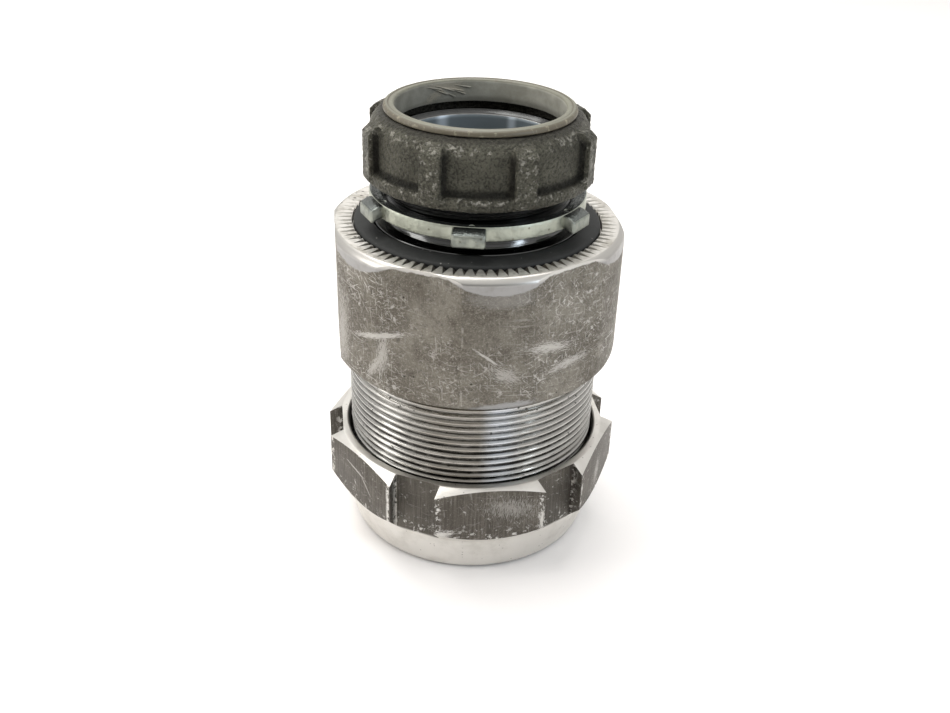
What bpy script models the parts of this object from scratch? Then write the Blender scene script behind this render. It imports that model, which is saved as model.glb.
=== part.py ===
"""Compression fitting for armoured cable, with its locknut and insulated bushing.

The fitting stands on its gland nut with the cable passage along +Z. The origin is
on the axis, at the nut's lower edge. All sizes are in metres.
"""

from math import cos, pi, radians, sin

import bmesh
import bpy
from mathutils import Matrix, Vector

# Mesh fineness: facets around a large turned piece and around a small one.
FACETS = 48
SMALL_FACETS = 36
GAP = 0.0003  # between pieces that rest on each other

# Body: heights along the axis, then radii.
BODY_END = 0.0180  # lower end of the male thread, inside the gland nut
HEX_BOTTOM = 0.0537
FACE = 0.0902  # the face that meets the enclosure wall
HUB_END = 0.1125
THREAD_RADIUS = 0.03425  # crest of the male thread
THREAD_RELIEF_RADIUS = 0.0330
THREAD_RELIEF_HEIGHT = 0.0022
BODY_FLATS = 0.0738
BODY_TURNED_RADIUS = 0.0386  # the corners of the hexagon are turned down to this
BODY_CORNER_ANGLE = 9.0  # degrees from the front (-Y) towards +X
BODY_TOP_CHAMFER = 0.0013
BODY_BOTTOM_ROUND = 0.0024
COLLAR_RADIUS = 0.0271  # low step that centres the face seal ring
COLLAR_TOP = 0.0913
SEAL_GROOVE_RADIUS = 0.0326
SEAL_GROOVE_DEPTH = 0.0022
HUB_RADIUS = 0.02413  # 1-1/2 inch taper pipe thread
HUB_BORE = 0.0208
HUB_BORE_CHAMFER = 0.0018
CABLE_BORE = 0.0276  # takes the armour and its end-stop
STOP_SHOULDER = 0.0680  # step between the cable bore and the hub bore
MOUTH_RADIUS = 0.0316  # conical mouth that the gland seal enters
MOUTH_DEPTH = 0.0100

# Gland nut.
NUT_TOP = 0.0302
NUT_FLATS = 0.0766
NUT_FLAT_ANGLE = 8.6  # middle of the front flat, degrees from -Y towards +X
NUT_CORNER_RADIUS = 0.0415
NUT_FACE_RADIUS = 0.0374  # the flat ring on top
NUT_CORNER_TOP = 0.0280
NUT_CORNER_BOTTOM = 0.0172
NUT_SKIRT_TOP = 0.0126
NUT_SKIRT_TOP_RADIUS = 0.0371
NUT_SKIRT_RADIUS = 0.0338
NUT_BASE_RADIUS = 0.0325
NUT_BORE = 0.03485
NUT_BORE_BOTTOM = 0.0105
NUT_CAVITY = 0.0328
NUT_SHOULDER = 0.0051
NUT_THROAT = 0.0245
SLOT_WIDTH = 0.0128  # spanner slots, one across each corner
SLOT_FLOOR = 0.0369  # from the axis

# Pieces inside the gland nut.
WASHER_THICKNESS = 0.0012
WASHER_OUTER = 0.0322
WASHER_INNER = 0.0240
GLAND_OUTER = 0.0315
GLAND_TIP_RADIUS = 0.0280
GLAND_INNER = 0.0232
GLAND_HEIGHT = 0.0131
GLAND_STRAIGHT = 0.0042  # height of the cylinder below the taper

# Pieces inside the body's cable bore.
CLAMP_BOTTOM = 0.0300
CLAMP_HEIGHT = 0.0055
CLAMP_INNER = 0.0236
GARTER_CENTRE_RADIUS = 0.0254
GARTER_COIL_RADIUS = 0.0018
SNAP_RING_THICKNESS = 0.0014
SNAP_RING_INNER = 0.0250
SNAP_RING_OPENING = 26.0  # degrees left open
STOP_THICKNESS = 0.0022
STOP_INNER = 0.0212

# Face seal ring, in the groove around the collar.
SEAL_INNER = 0.0275
SEAL_OUTER = 0.0322
SEAL_INNER_TOP = 0.0915  # the ring's top slopes down outwards
SEAL_OUTER_TOP = 0.0905

# Locknut on the hub thread.
LOCKNUT_BOTTOM = 0.0950
LOCKNUT_THICKNESS = 0.0038
LOCKNUT_RADIUS = 0.0280
LOCKNUT_BORE = 0.0247
LUG_COUNT = 6
LUG_REACH = 0.0312
LUG_WIDTH = 0.0082
LUG_ANGLE = -3.6  # degrees from -Y towards +X
LUG_DROP = 0.0011  # the lugs are bent down below the ring
LUG_THICKNESS = 0.0036

# Bushing on the end of the hub.
BUSHING_BOTTOM = 0.1026
BUSHING_TOP = 0.1190
BUSHING_RADIUS = 0.0285  # of the panels between the ribs
BUSHING_SKIRT_RADIUS = 0.0293
BUSHING_SKIRT_HEIGHT = 0.0030
BUSHING_BORE = 0.0247
BUSHING_BORE_TOP = 0.1140
BUSHING_LIP_BORE = 0.0230
BUSHING_SHOULDER = 0.0030  # height of the sloped shoulder
BUSHING_MOUTH_RADIUS = 0.0248  # outer radius at the very top
RIB_COUNT = 8
RIB_ANGLE = 22.5
RIB_REACH = 0.02975
RIB_WIDTH = 0.0052
LINER_FLANGE_RADIUS = 0.0242
LINER_FLANGE_THICKNESS = 0.0013
LINER_OUTER = 0.0226
LINER_INNER = 0.0213
LINER_BOTTOM = 0.1147


def clear_scene():
    for obj in list(bpy.data.objects):
        bpy.data.objects.remove(obj, do_unlink=True)


def material(name, colour, roughness, metallic):
    finish = bpy.data.materials.new(name)
    finish.use_nodes = True
    shader = finish.node_tree.nodes["Principled BSDF"]
    shader.inputs["Base Color"].default_value = (*colour, 1.0)
    shader.inputs["Roughness"].default_value = roughness
    shader.inputs["Metallic"].default_value = metallic
    return finish


def add_object(name, bm, base=0.0, finish=None):
    """Puts the mesh in the scene with its origin on the axis, at height base."""
    bmesh.ops.recalc_face_normals(bm, faces=bm.faces[:])
    mesh = bpy.data.meshes.new(name)
    bm.to_mesh(mesh)
    bm.free()
    obj = bpy.data.objects.new(name, mesh)
    obj.location.z = base
    bpy.context.scene.collection.objects.link(obj)
    if finish:
        mesh.materials.append(finish)
    mesh.shade_smooth()
    mesh.set_sharp_from_angle(angle=radians(28))
    return obj


def around(angle, radius, height=0.0):
    """A point at an angle in degrees from the front (-Y) towards +X."""
    turn = radians(angle)
    return Vector((radius * sin(turn), -radius * cos(turn), height))


def turned(name, profile, base=0.0, facets=FACETS, finish=None, degrees=360.0):
    """Spins a closed outline of (radius, height) points about the axis."""
    bm = bmesh.new()
    points = [bm.verts.new((radius, 0.0, height)) for radius, height in profile]
    section = points + [bm.edges.new(pair) for pair in zip(points, points[1:] + points[:1])]
    whole = degrees == 360.0
    if not whole:
        section.append(bm.faces.new(points))
    bmesh.ops.spin(
        bm,
        geom=section,
        axis=(0, 0, 1),
        cent=(0, 0, 0),
        angle=radians(degrees),
        steps=facets,
        use_merge=whole,
    )
    return add_object(name, bm, base, finish)


def prism(bm, outline, low, high):
    """A straight prism over a closed outline of (x, y) points."""
    bottom = [bm.verts.new((x, y, low)) for x, y in outline]
    face = bm.faces.new(bottom)
    grown = bmesh.ops.extrude_face_region(bm, geom=[face])
    top = [item for item in grown["geom"] if isinstance(item, bmesh.types.BMVert)]
    bmesh.ops.translate(bm, verts=top, vec=(0, 0, high - low))


def boolean(obj, tool, operation):
    """Shapes obj with a hidden tool."""
    tool.hide_render = True
    tool.display_type = "WIRE"
    shaping = obj.modifiers.new(tool.name, "BOOLEAN")
    shaping.object = tool
    shaping.operation = operation
    shaping.solver = "EXACT"


def hexagon_tool(name, flats, flat_angle, low, high):
    """A hexagonal bar; flat_angle is the middle of one of its flats."""
    corner = flats / 2 / cos(radians(30))
    bm = bmesh.new()
    corners = [around(flat_angle + 30 + 60 * side, corner) for side in range(6)]
    prism(bm, [(point.x, point.y) for point in corners], low, high)
    return add_object(name, bm)


def make_body():
    groove_floor = FACE - SEAL_GROOVE_DEPTH
    relief_bottom = HEX_BOTTOM - THREAD_RELIEF_HEIGHT
    profile = [
        (HUB_BORE + HUB_BORE_CHAMFER, HUB_END),
        (HUB_RADIUS - 0.0012, HUB_END),
        (HUB_RADIUS, HUB_END - 0.0012),
        (HUB_RADIUS, COLLAR_TOP),
        (COLLAR_RADIUS - 0.0003, COLLAR_TOP),
        (COLLAR_RADIUS, COLLAR_TOP - 0.0003),
        (COLLAR_RADIUS, groove_floor),
        (SEAL_GROOVE_RADIUS, groove_floor),
        (SEAL_GROOVE_RADIUS, FACE),
        (BODY_TURNED_RADIUS - BODY_TOP_CHAMFER, FACE),
        (BODY_TURNED_RADIUS, FACE - BODY_TOP_CHAMFER),
        (BODY_TURNED_RADIUS, HEX_BOTTOM + BODY_BOTTOM_ROUND),
        (BODY_TURNED_RADIUS - 0.3 * BODY_BOTTOM_ROUND, HEX_BOTTOM + 0.3 * BODY_BOTTOM_ROUND),
        (BODY_TURNED_RADIUS - BODY_BOTTOM_ROUND, HEX_BOTTOM),
        (THREAD_RELIEF_RADIUS, HEX_BOTTOM),
        (THREAD_RELIEF_RADIUS, relief_bottom),
        (THREAD_RADIUS, relief_bottom - 0.0010),
        (THREAD_RADIUS, BODY_END + 0.0010),
        (THREAD_RADIUS - 0.0010, BODY_END),
        (MOUTH_RADIUS, BODY_END),
        (CABLE_BORE, BODY_END + MOUTH_DEPTH),
        (CABLE_BORE, STOP_SHOULDER),
        (HUB_BORE, STOP_SHOULDER),
        (HUB_BORE, HUB_END - HUB_BORE_CHAMFER),
    ]
    finish = material("cast_aluminium", (0.42, 0.40, 0.37), 0.42, 1.0)
    body = turned("fitting_body", profile, finish=finish)
    flat_angle = BODY_CORNER_ANGLE + 30
    bar = hexagon_tool("tool_body_hexagon", BODY_FLATS, flat_angle, 0.0, HUB_END + 0.01)
    boolean(body, bar, "INTERSECT")


def make_gland_nut():
    profile = [
        (NUT_FACE_RADIUS, NUT_TOP),
        (NUT_CORNER_RADIUS, NUT_CORNER_TOP),
        (NUT_CORNER_RADIUS, NUT_CORNER_BOTTOM),
        (NUT_SKIRT_TOP_RADIUS, NUT_SKIRT_TOP),
        (NUT_SKIRT_RADIUS, 0.0014),
        (NUT_BASE_RADIUS, 0.0),
        (NUT_THROAT + 0.0010, 0.0),
        (NUT_THROAT, 0.0010),
        (NUT_THROAT, NUT_SHOULDER),
        (NUT_CAVITY, NUT_SHOULDER),
        (NUT_CAVITY, NUT_BORE_BOTTOM),
        (NUT_BORE, NUT_BORE_BOTTOM),
        (NUT_BORE, NUT_TOP - 0.0007),
        (NUT_BORE + 0.0007, NUT_TOP),
    ]
    finish = material("weathered_aluminium", (0.36, 0.34, 0.31), 0.5, 1.0)
    nut = turned("gland_nut", profile, finish=finish)
    bar = hexagon_tool("tool_nut_hexagon", NUT_FLATS, NUT_FLAT_ANGLE, -0.01, NUT_TOP + 0.01)
    boolean(nut, bar, "INTERSECT")
    boolean(nut, slot_tool(), "DIFFERENCE")


def slot_tool():
    """Six bars whose inner faces are the floors of the spanner slots."""
    bm = bmesh.new()
    half = SLOT_WIDTH / 2
    reach = 0.012
    outline = [
        (half, -SLOT_FLOOR),
        (half, -SLOT_FLOOR - reach),
        (-half, -SLOT_FLOOR - reach),
        (-half, -SLOT_FLOOR),
    ]
    for side in range(6):
        spin = Matrix.Rotation(radians(NUT_FLAT_ANGLE + 30 + 60 * side), 3, "Z")
        corners = [spin @ Vector((x, y, 0)) for x, y in outline]
        prism(bm, [(point.x, point.y) for point in corners], 0.004, NUT_TOP + 0.01)
    return add_object("tool_nut_slots", bm)


def make_slip_washer():
    profile = [
        (WASHER_OUTER, WASHER_THICKNESS),
        (WASHER_OUTER, 0.0),
        (WASHER_INNER, 0.0),
        (WASHER_INNER, WASHER_THICKNESS),
    ]
    finish = material("stainless_washer", (0.62, 0.61, 0.58), 0.3, 1.0)
    turned("slip_washer", profile, NUT_SHOULDER + GAP, SMALL_FACETS, finish)


def make_gland_seal():
    base = NUT_SHOULDER + GAP + WASHER_THICKNESS + GAP
    profile = [
        (GLAND_TIP_RADIUS, GLAND_HEIGHT),
        (GLAND_OUTER, GLAND_STRAIGHT + 0.0010),
        (GLAND_OUTER, 0.0),
        (GLAND_INNER, 0.0),
        (GLAND_INNER, GLAND_HEIGHT - 0.0012),
        (GLAND_INNER + 0.0012, GLAND_HEIGHT),
    ]
    finish = material("neoprene", (0.03, 0.03, 0.032), 0.6, 0.0)
    turned("gland_seal", profile, base, SMALL_FACETS, finish)


def make_clamp_ring():
    outer = CABLE_BORE - GAP
    profile = [
        (outer, CLAMP_HEIGHT - 0.0010),
        (outer, 0.0),
        (CLAMP_INNER, 0.0),
        (CLAMP_INNER, CLAMP_HEIGHT * 0.4),
        (outer - 0.0014, CLAMP_HEIGHT),
        (outer - 0.0010, CLAMP_HEIGHT),
    ]
    finish = material("clamp_ring_zinc", (0.55, 0.55, 0.53), 0.35, 1.0)
    turned("clamp_ring", profile, CLAMP_BOTTOM, SMALL_FACETS, finish)


def make_garter_spring():
    centre_height = CLAMP_BOTTOM + CLAMP_HEIGHT + GARTER_COIL_RADIUS + GAP
    sides = 10
    profile = [
        (
            GARTER_CENTRE_RADIUS + GARTER_COIL_RADIUS * cos(2 * pi * side / sides),
            -GARTER_COIL_RADIUS * sin(2 * pi * side / sides),
        )
        for side in range(sides)
    ]
    finish = material("spring_steel", (0.5, 0.5, 0.5), 0.3, 1.0)
    turned("garter_spring", profile, centre_height, SMALL_FACETS, finish)


def make_armour_stop():
    outer = CABLE_BORE - GAP
    base = STOP_SHOULDER - GAP - STOP_THICKNESS
    profile = [
        (outer, STOP_THICKNESS),
        (outer, 0.0),
        (STOP_INNER, 0.0),
        (STOP_INNER, STOP_THICKNESS),
    ]
    finish = material("stop_ring_nylon", (0.72, 0.70, 0.64), 0.5, 0.0)
    turned("armour_stop", profile, base, SMALL_FACETS, finish)


def make_snap_ring():
    """An open spring ring that keeps the end-stop against its shoulder."""
    outer = CABLE_BORE - GAP
    base = STOP_SHOULDER - GAP - STOP_THICKNESS - GAP - SNAP_RING_THICKNESS
    profile = [
        (outer, SNAP_RING_THICKNESS),
        (outer, 0.0),
        (SNAP_RING_INNER, 0.0),
        (SNAP_RING_INNER, SNAP_RING_THICKNESS),
    ]
    finish = material("snap_ring_steel", (0.45, 0.45, 0.45), 0.35, 1.0)
    turned("snap_ring", profile, base, SMALL_FACETS, finish, 360.0 - SNAP_RING_OPENING)


def make_face_seal():
    bottom = FACE - SEAL_GROOVE_DEPTH + GAP
    profile = [
        (SEAL_OUTER - 0.0005, SEAL_OUTER_TOP - bottom),
        (SEAL_OUTER, SEAL_OUTER_TOP - bottom - 0.0005),
        (SEAL_OUTER, 0.0),
        (SEAL_INNER, 0.0),
        (SEAL_INNER, SEAL_INNER_TOP - bottom - 0.0004),
        (SEAL_INNER + 0.0004, SEAL_INNER_TOP - bottom),
    ]
    finish = material("black_rubber", (0.045, 0.047, 0.045), 0.55, 0.0)
    turned("face_seal_ring", profile, bottom, FACETS, finish)


def make_locknut():
    profile = [
        (LOCKNUT_RADIUS, LOCKNUT_THICKNESS),
        (LOCKNUT_RADIUS, 0.0),
        (LOCKNUT_BORE + 0.0005, 0.0),
        (LOCKNUT_BORE, 0.0005),
        (LOCKNUT_BORE, LOCKNUT_THICKNESS - 0.0008),
        (LOCKNUT_BORE + 0.0008, LOCKNUT_THICKNESS),
    ]
    finish = material("zinc_plate", (0.60, 0.62, 0.58), 0.38, 1.0)
    nut = turned("locknut", profile, LOCKNUT_BOTTOM, FACETS, finish)
    boolean(nut, lug_tool(), "UNION")


def tongues(name, side_view, width, count, first_angle, base):
    """Like tongues around the axis: a side view of (radius, height) points, given a width."""
    bm = bmesh.new()
    for tongue in range(count):
        spin = Matrix.Rotation(radians(first_angle + 360 / count * tongue), 3, "Z")
        near, far = (
            [bm.verts.new(spin @ Vector((side, -radius, height))) for radius, height in side_view]
            for side in (-width / 2, width / 2)
        )
        bm.faces.new(near)
        bm.faces.new(far[::-1])
        for index in range(len(side_view)):
            after = (index + 1) % len(side_view)
            bm.faces.new((near[index], near[after], far[after], far[index]))
    return add_object(name, bm, base)


def lug_tool():
    """The lugs: short tongues that leave the ring's edge and bend down."""
    side_view = [
        ((LOCKNUT_BORE + LOCKNUT_RADIUS) / 2, LOCKNUT_THICKNESS - 0.0008),
        (LOCKNUT_RADIUS, LOCKNUT_THICKNESS - 0.0002),
        (LUG_REACH, LUG_THICKNESS - LUG_DROP),
        (LUG_REACH - 0.0004, -LUG_DROP),
        (LOCKNUT_RADIUS, 0.0004),
        ((LOCKNUT_BORE + LOCKNUT_RADIUS) / 2, 0.0008),
    ]
    return tongues("tool_locknut_lugs", side_view, LUG_WIDTH, LUG_COUNT, LUG_ANGLE, LOCKNUT_BOTTOM)


def make_bushing_shell():
    bottom = BUSHING_BOTTOM
    skirt = BUSHING_SKIRT_HEIGHT
    top = BUSHING_TOP - bottom
    profile = [
        (BUSHING_LIP_BORE, top),
        (BUSHING_MOUTH_RADIUS, top),
        (BUSHING_RADIUS - 0.0012, top - 0.6 * BUSHING_SHOULDER),
        (BUSHING_RADIUS, top - BUSHING_SHOULDER),
        (BUSHING_RADIUS, skirt + 0.0006),
        (BUSHING_SKIRT_RADIUS, skirt),
        (BUSHING_SKIRT_RADIUS, 0.0004),
        (BUSHING_SKIRT_RADIUS - 0.0004, 0.0),
        (BUSHING_BORE + 0.0008, 0.0),
        (BUSHING_BORE, 0.0008),
        (BUSHING_BORE, BUSHING_BORE_TOP - bottom),
        (BUSHING_LIP_BORE, BUSHING_BORE_TOP - bottom),
    ]
    finish = material("malleable_iron", (0.13, 0.12, 0.105), 0.6, 1.0)
    shell = turned("bushing_shell", profile, bottom, FACETS, finish)
    boolean(shell, rib_tool(), "UNION")


def rib_tool():
    """The grip ribs around the bushing, each with a sloped upper end."""
    root = (BUSHING_BORE + BUSHING_RADIUS) / 2
    top = BUSHING_TOP - BUSHING_BOTTOM
    side_view = [
        (root, top - 0.55 * BUSHING_SHOULDER),
        (BUSHING_RADIUS - 0.0008, top - 0.35 * BUSHING_SHOULDER),
        (RIB_REACH, top - 1.15 * BUSHING_SHOULDER),
        (RIB_REACH, 0.0016),
        (RIB_REACH - 0.0006, 0.0005),
        (root, 0.0005),
    ]
    return tongues("tool_bushing_ribs", side_view, RIB_WIDTH, RIB_COUNT, RIB_ANGLE, BUSHING_BOTTOM)


def make_bushing_liner():
    flange = BUSHING_TOP + GAP - LINER_BOTTOM
    top = flange + LINER_FLANGE_THICKNESS
    profile = [
        (LINER_INNER + 0.0004, top),
        (LINER_FLANGE_RADIUS - 0.0004, top),
        (LINER_FLANGE_RADIUS, top - 0.0004),
        (LINER_FLANGE_RADIUS, flange),
        (LINER_OUTER, flange),
        (LINER_OUTER, 0.0),
        (LINER_INNER, 0.0),
        (LINER_INNER, top - 0.0004),
    ]
    finish = material("grey_liner", (0.45, 0.44, 0.41), 0.5, 0.0)
    turned("bushing_liner", profile, LINER_BOTTOM, FACETS, finish)


def main():
    clear_scene()
    make_body()
    make_gland_nut()
    make_slip_washer()
    make_gland_seal()
    make_clamp_ring()
    make_garter_spring()
    make_armour_stop()
    make_snap_ring()
    make_face_seal()
    make_locknut()
    make_bushing_shell()
    make_bushing_liner()


main()
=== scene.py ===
"""Looks of the compression fitting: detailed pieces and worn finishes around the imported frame.

Laid out as a Blender add-on. Every size is in metres, in the frame's own coordinates: the
fitting stands on its gland nut, the cable passage runs along +Z, and -Y is the front.
"""

import random
from math import cos, pi, radians, sin

import bmesh
import bpy
from bpy.props import FloatProperty, FloatVectorProperty, IntProperty, PointerProperty
from mathutils import Matrix, Vector


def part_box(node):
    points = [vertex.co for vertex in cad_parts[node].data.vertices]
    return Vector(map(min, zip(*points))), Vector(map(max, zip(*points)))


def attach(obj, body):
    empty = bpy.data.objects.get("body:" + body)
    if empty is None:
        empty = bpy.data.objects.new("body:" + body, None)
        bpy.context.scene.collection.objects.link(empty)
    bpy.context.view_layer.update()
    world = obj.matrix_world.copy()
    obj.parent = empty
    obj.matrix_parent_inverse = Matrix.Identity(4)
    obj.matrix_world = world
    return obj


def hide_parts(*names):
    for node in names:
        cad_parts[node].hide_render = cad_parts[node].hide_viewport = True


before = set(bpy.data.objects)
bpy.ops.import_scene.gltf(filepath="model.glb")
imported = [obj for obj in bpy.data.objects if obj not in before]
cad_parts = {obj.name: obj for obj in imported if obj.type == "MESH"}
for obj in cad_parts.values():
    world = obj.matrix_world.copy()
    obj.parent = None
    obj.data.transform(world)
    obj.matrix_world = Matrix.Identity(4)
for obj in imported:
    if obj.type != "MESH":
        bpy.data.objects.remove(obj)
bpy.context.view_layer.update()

bl_info = {
    "name": "Compression Fitting",
    "version": (1, 0, 0),
    "blender": (4, 5, 0),
    "location": "3D View > Sidebar > Fitting",
    "description": "Models a worn aluminium compression fitting with its locknut and bushing",
    "category": "Add Mesh",
}

# ---------------------------------------------------------------------------
# Places on the frame
# ---------------------------------------------------------------------------


def solid_height(node):
    """The lowest and highest z of a CAD solid."""
    low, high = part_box(node)
    return low.z, high.z


BODY_END, HUB_END = solid_height("fitting_body")
NUT_TOP = solid_height("gland_nut")[1]
SHELL_LOW, SHELL_TOP = solid_height("bushing_shell")
LINER_LOW, LINER_TOP = solid_height("bushing_liner")
SEAL_LOW = solid_height("face_seal_ring")[0]
LOCKNUT_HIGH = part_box("locknut")[1]

MM = 0.001
SIDES = 120  # around a turned piece
ARC_RADIUS = 0.036  # turns an angle into a length around the body

HEX_BOTTOM = 0.0537
FACE = 0.0902
COLLAR_TOP = 0.0913
THREAD_CREST = 0.03425
HUB_CREST = 0.02413
TOOTH_OUTER = 0.0326  # radius of the seal groove's wall, where the teeth begin
BORE = 0.0276
SPRING_SEAT = 0.0273  # outer radius of the rings in the bore
SNAP_INNER = 0.0250

# Turns from the front (-Y) towards +X, in degrees
BODY_CORNER = 9.0
NUT_CORNER = 38.6
LUG_ANGLE = -3.6
RIB_ANGLE = 22.5
HEX_STEP = 60.0
RIBS = 8
LUGS = 6


# ---------------------------------------------------------------------------
# Sizes and colours that a user would change
# ---------------------------------------------------------------------------


def length(name, description, default):
    return FloatProperty(
        name=name,
        description=description,
        default=default,
        min=0.0,
        subtype="DISTANCE",
        unit="LENGTH",
    )


def colour(name, description, default):
    return FloatVectorProperty(
        name=name,
        description=description,
        default=default,
        size=3,
        min=0.0,
        max=1.0,
        subtype="COLOR",
    )


class FittingSizes(bpy.types.PropertyGroup):
    """Sizes of the turned and moulded details."""

    thread_pitch: length("Thread pitch", "Pitch of the long thread on the body", 0.0020)
    thread_depth: length("Thread depth", "Depth of the long thread on the body", 0.00085)
    hub_pitch: length("Hub pitch", "Pitch of the pipe thread on the hub", 0.002209)
    hub_depth: length("Hub thread depth", "Depth of the pipe thread on the hub", 0.00125)
    teeth: IntProperty(
        name="Teeth", description="Radial teeth on the body's face", default=88, min=12, max=200
    )
    tooth_depth: length("Tooth depth", "Depth of the teeth at their inner ends", 0.00105)
    edge: length("Edge", "Rounding of the body's and the nut's edges", 0.00035)
    grain: length("Grain", "Height of the sand grain on the cast bushing", 0.00016)
    dimple: length("Dimple", "Radius of the punch mark on each locknut lug", 0.0013)


class FittingColours(bpy.types.PropertyGroup):
    """Colours of the finishes."""

    bright: colour("Bright aluminium", "Freshly turned or scraped metal", (0.74, 0.72, 0.68))
    weathered: colour("Weathered aluminium", "The skin of the flats", (0.120, 0.107, 0.087))
    pale_skin: colour("Pale skin", "Lighter patches on the flats", (0.28, 0.262, 0.222))
    # This dark colour is also painted shade: it fills the gap inside the gland nut, the inside of
    # the bushing and, together with real oil, the thread roots.
    oil_and_shade: colour("Oil", "Dark oil in threads and corners", (0.030, 0.028, 0.024))
    iron: colour("Malleable iron", "The cast bushing", (0.069, 0.067, 0.052))
    # The glint colour is also a painted highlight: the pale flecks on the bushing's proud grains,
    # rib tops and shoulder stand in for glints as well as rubbed metal.
    iron_glint: colour("Iron glint", "Rubbed grains on the bushing", (0.44, 0.425, 0.38))
    zinc: colour("Zinc plate", "The locknut", (0.43, 0.450, 0.380))
    rubber: colour("Rubber", "The face seal and the gland seal", (0.019, 0.020, 0.0195))
    liner: colour("Liner plastic", "The throat liner", (0.145, 0.143, 0.108))
    table: colour("Table", "The pale table top", (0.93, 0.91, 0.90))


# ---------------------------------------------------------------------------
# Modelling helpers
# ---------------------------------------------------------------------------


def around(angle, radius, height=0.0):
    """A point at an angle in degrees from the front (-Y) towards +X."""
    turn = radians(angle)
    return Vector((radius * sin(turn), -radius * cos(turn), height))


def pick(*pieces):
    """Selects these objects only, the first of them active."""
    if bpy.context.object and bpy.context.object.mode != "OBJECT":
        done()
    bpy.ops.object.select_all(action="DESELECT")
    for piece in pieces:
        piece.select_set(True)
    if pieces:
        bpy.context.view_layer.objects.active = pieces[0]


def edit(piece):
    """Opens a mesh for editing with everything selected."""
    pick(piece)
    bpy.ops.object.mode_set(mode="EDIT")
    bpy.ops.mesh.select_all(action="SELECT")


def edit_faces(piece, toward):
    """Opens a mesh for editing with only the faces that look a certain way selected."""
    edit(piece)
    bpy.ops.mesh.select_all(action="DESELECT")
    mesh = bmesh.from_edit_mesh(piece.data)
    for face in mesh.faces:
        if face.normal.dot(toward) > 0.9:
            face.select_set(True)
    bmesh.update_edit_mesh(piece.data)


def done():
    bpy.ops.object.mode_set(mode="OBJECT")


def named(name):
    """Names the active object and puts its place, turn and size into its mesh."""
    piece = bpy.context.object
    piece.name = piece.data.name = name
    bpy.ops.object.transform_apply(location=True, rotation=True, scale=True)
    return piece


def outward(piece):
    """Welds doubled points and turns every face outward."""
    edit(piece)
    bpy.ops.mesh.remove_doubles(threshold=1e-6)
    bpy.ops.mesh.normals_make_consistent(inside=False)
    done()
    return piece


def pulled(out, up=0.0):
    """Extrudes the selection by an offset."""
    bpy.ops.mesh.extrude_region_move(TRANSFORM_OT_translate={"value": (*out, up)})


def swing(piece, angle, axis="Z"):
    """Turns a mesh about an axis of the frame, by degrees from the front towards +X."""
    edit(piece)
    bpy.ops.transform.rotate(
        value=-radians(angle), orient_axis=axis, center_override=(0, 0, 0)
    )
    done()
    return piece


def shaped(piece, kind, **settings):
    """Adds a modifier, sets it up and applies it."""
    pick(piece)
    modifier = piece.modifiers.new(kind.title(), kind)
    for key, value in settings.items():
        setattr(modifier, key, value)
    bpy.ops.object.modifier_apply(modifier=modifier.name)
    return piece


def wound(piece, pitch, turns, steps):
    """Carries a mesh up a helix about the axis."""
    return shaped(
        piece,
        "SCREW",
        axis="Z",
        screw_offset=pitch,
        iterations=turns,
        steps=steps,
        render_steps=steps,
        use_merge_vertices=False,
    )


def combine(piece, tool, operation):
    """Applies a Boolean with the tool and throws the tool away."""
    shaped(piece, "BOOLEAN", operation=operation, object=tool, solver="EXACT")
    bpy.data.objects.remove(tool, do_unlink=True)
    return piece


def eased(points, steps=3):
    """Rounds the corners of a closed outline of (radius, height[, rounding]) points."""
    out = []
    count = len(points)
    for index, point in enumerate(points):
        here = Vector(point[:2])
        rounding = point[2] if len(point) > 2 else 0.0
        if rounding <= 0.0:
            out.append(tuple(here))
            continue
        before = Vector(points[index - 1][:2]) - here
        after = Vector(points[(index + 1) % count][:2]) - here
        start = here + before.normalized() * min(rounding, before.length * 0.45)
        end = here + after.normalized() * min(rounding, after.length * 0.45)
        for step in range(steps + 1):
            t = step / steps
            out.append(tuple(start * (1 - t) ** 2 + here * 2 * t * (1 - t) + end * t**2))
    return out


def turned_up(name, points, fill="NOTHING"):
    """Extrudes and resizes a ring of edges from one (radius, height) point to the next."""
    pick()
    radius, height = points[0]
    bpy.ops.mesh.primitive_circle_add(
        vertices=SIDES, radius=radius, location=(0, 0, height), fill_type=fill
    )
    piece = named(name)
    edit(piece)
    for (was, at), (radius, height) in zip(points, points[1:]):
        pulled((0, 0), height - at)
        ratio = radius / was
        bpy.ops.transform.resize(value=(ratio, ratio, 1), center_override=(0, 0, 0))
    done()
    return outward(piece)


def lathe(name, outline, steps=3):
    """Turns a closed outline into a ring."""
    points = eased(outline, steps)
    return turned_up(name, [*points, points[0]])


def bar(name, outline):
    """Turns an open outline into a solid bar with flat ends."""
    points = [outline[0][:2], *eased(outline)[1:-1], outline[-1][:2]]
    return turned_up(name, points, "NGON")


def join(name, pieces):
    """Makes one object of several."""
    pick(*pieces)
    bpy.ops.object.join()
    return named(name)


def block(name, size, middle, angle=0.0):
    """A box of (across, deep, tall), turned about the axis by an angle from the front."""
    pick()
    bpy.ops.mesh.primitive_cube_add(size=1, location=middle)
    bpy.context.object.scale = size
    return swing(named(name), angle)


def copies_around(piece, count):
    """Repeats a mesh around the axis, inside the same object."""
    edit(piece)
    angle = 2 * pi * (count - 1) / count
    bpy.ops.mesh.spin(
        steps=count - 1, dupli=True, angle=angle, center=(0, 0, 0), axis=(0, 0, 1)
    )
    done()
    return piece


def cut_flats(piece, flats, corner_angle):
    """Planes six flats on a turned bar."""
    for side in range(6):
        normal = around(corner_angle + HEX_STEP * (side + 0.5), 1.0)
        edit(piece)
        bpy.ops.mesh.bisect(
            plane_co=normal * flats / 2,
            plane_no=normal,
            use_fill=True,
            clear_outer=True,
            threshold=1e-7,
        )
        done()
    return piece


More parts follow.
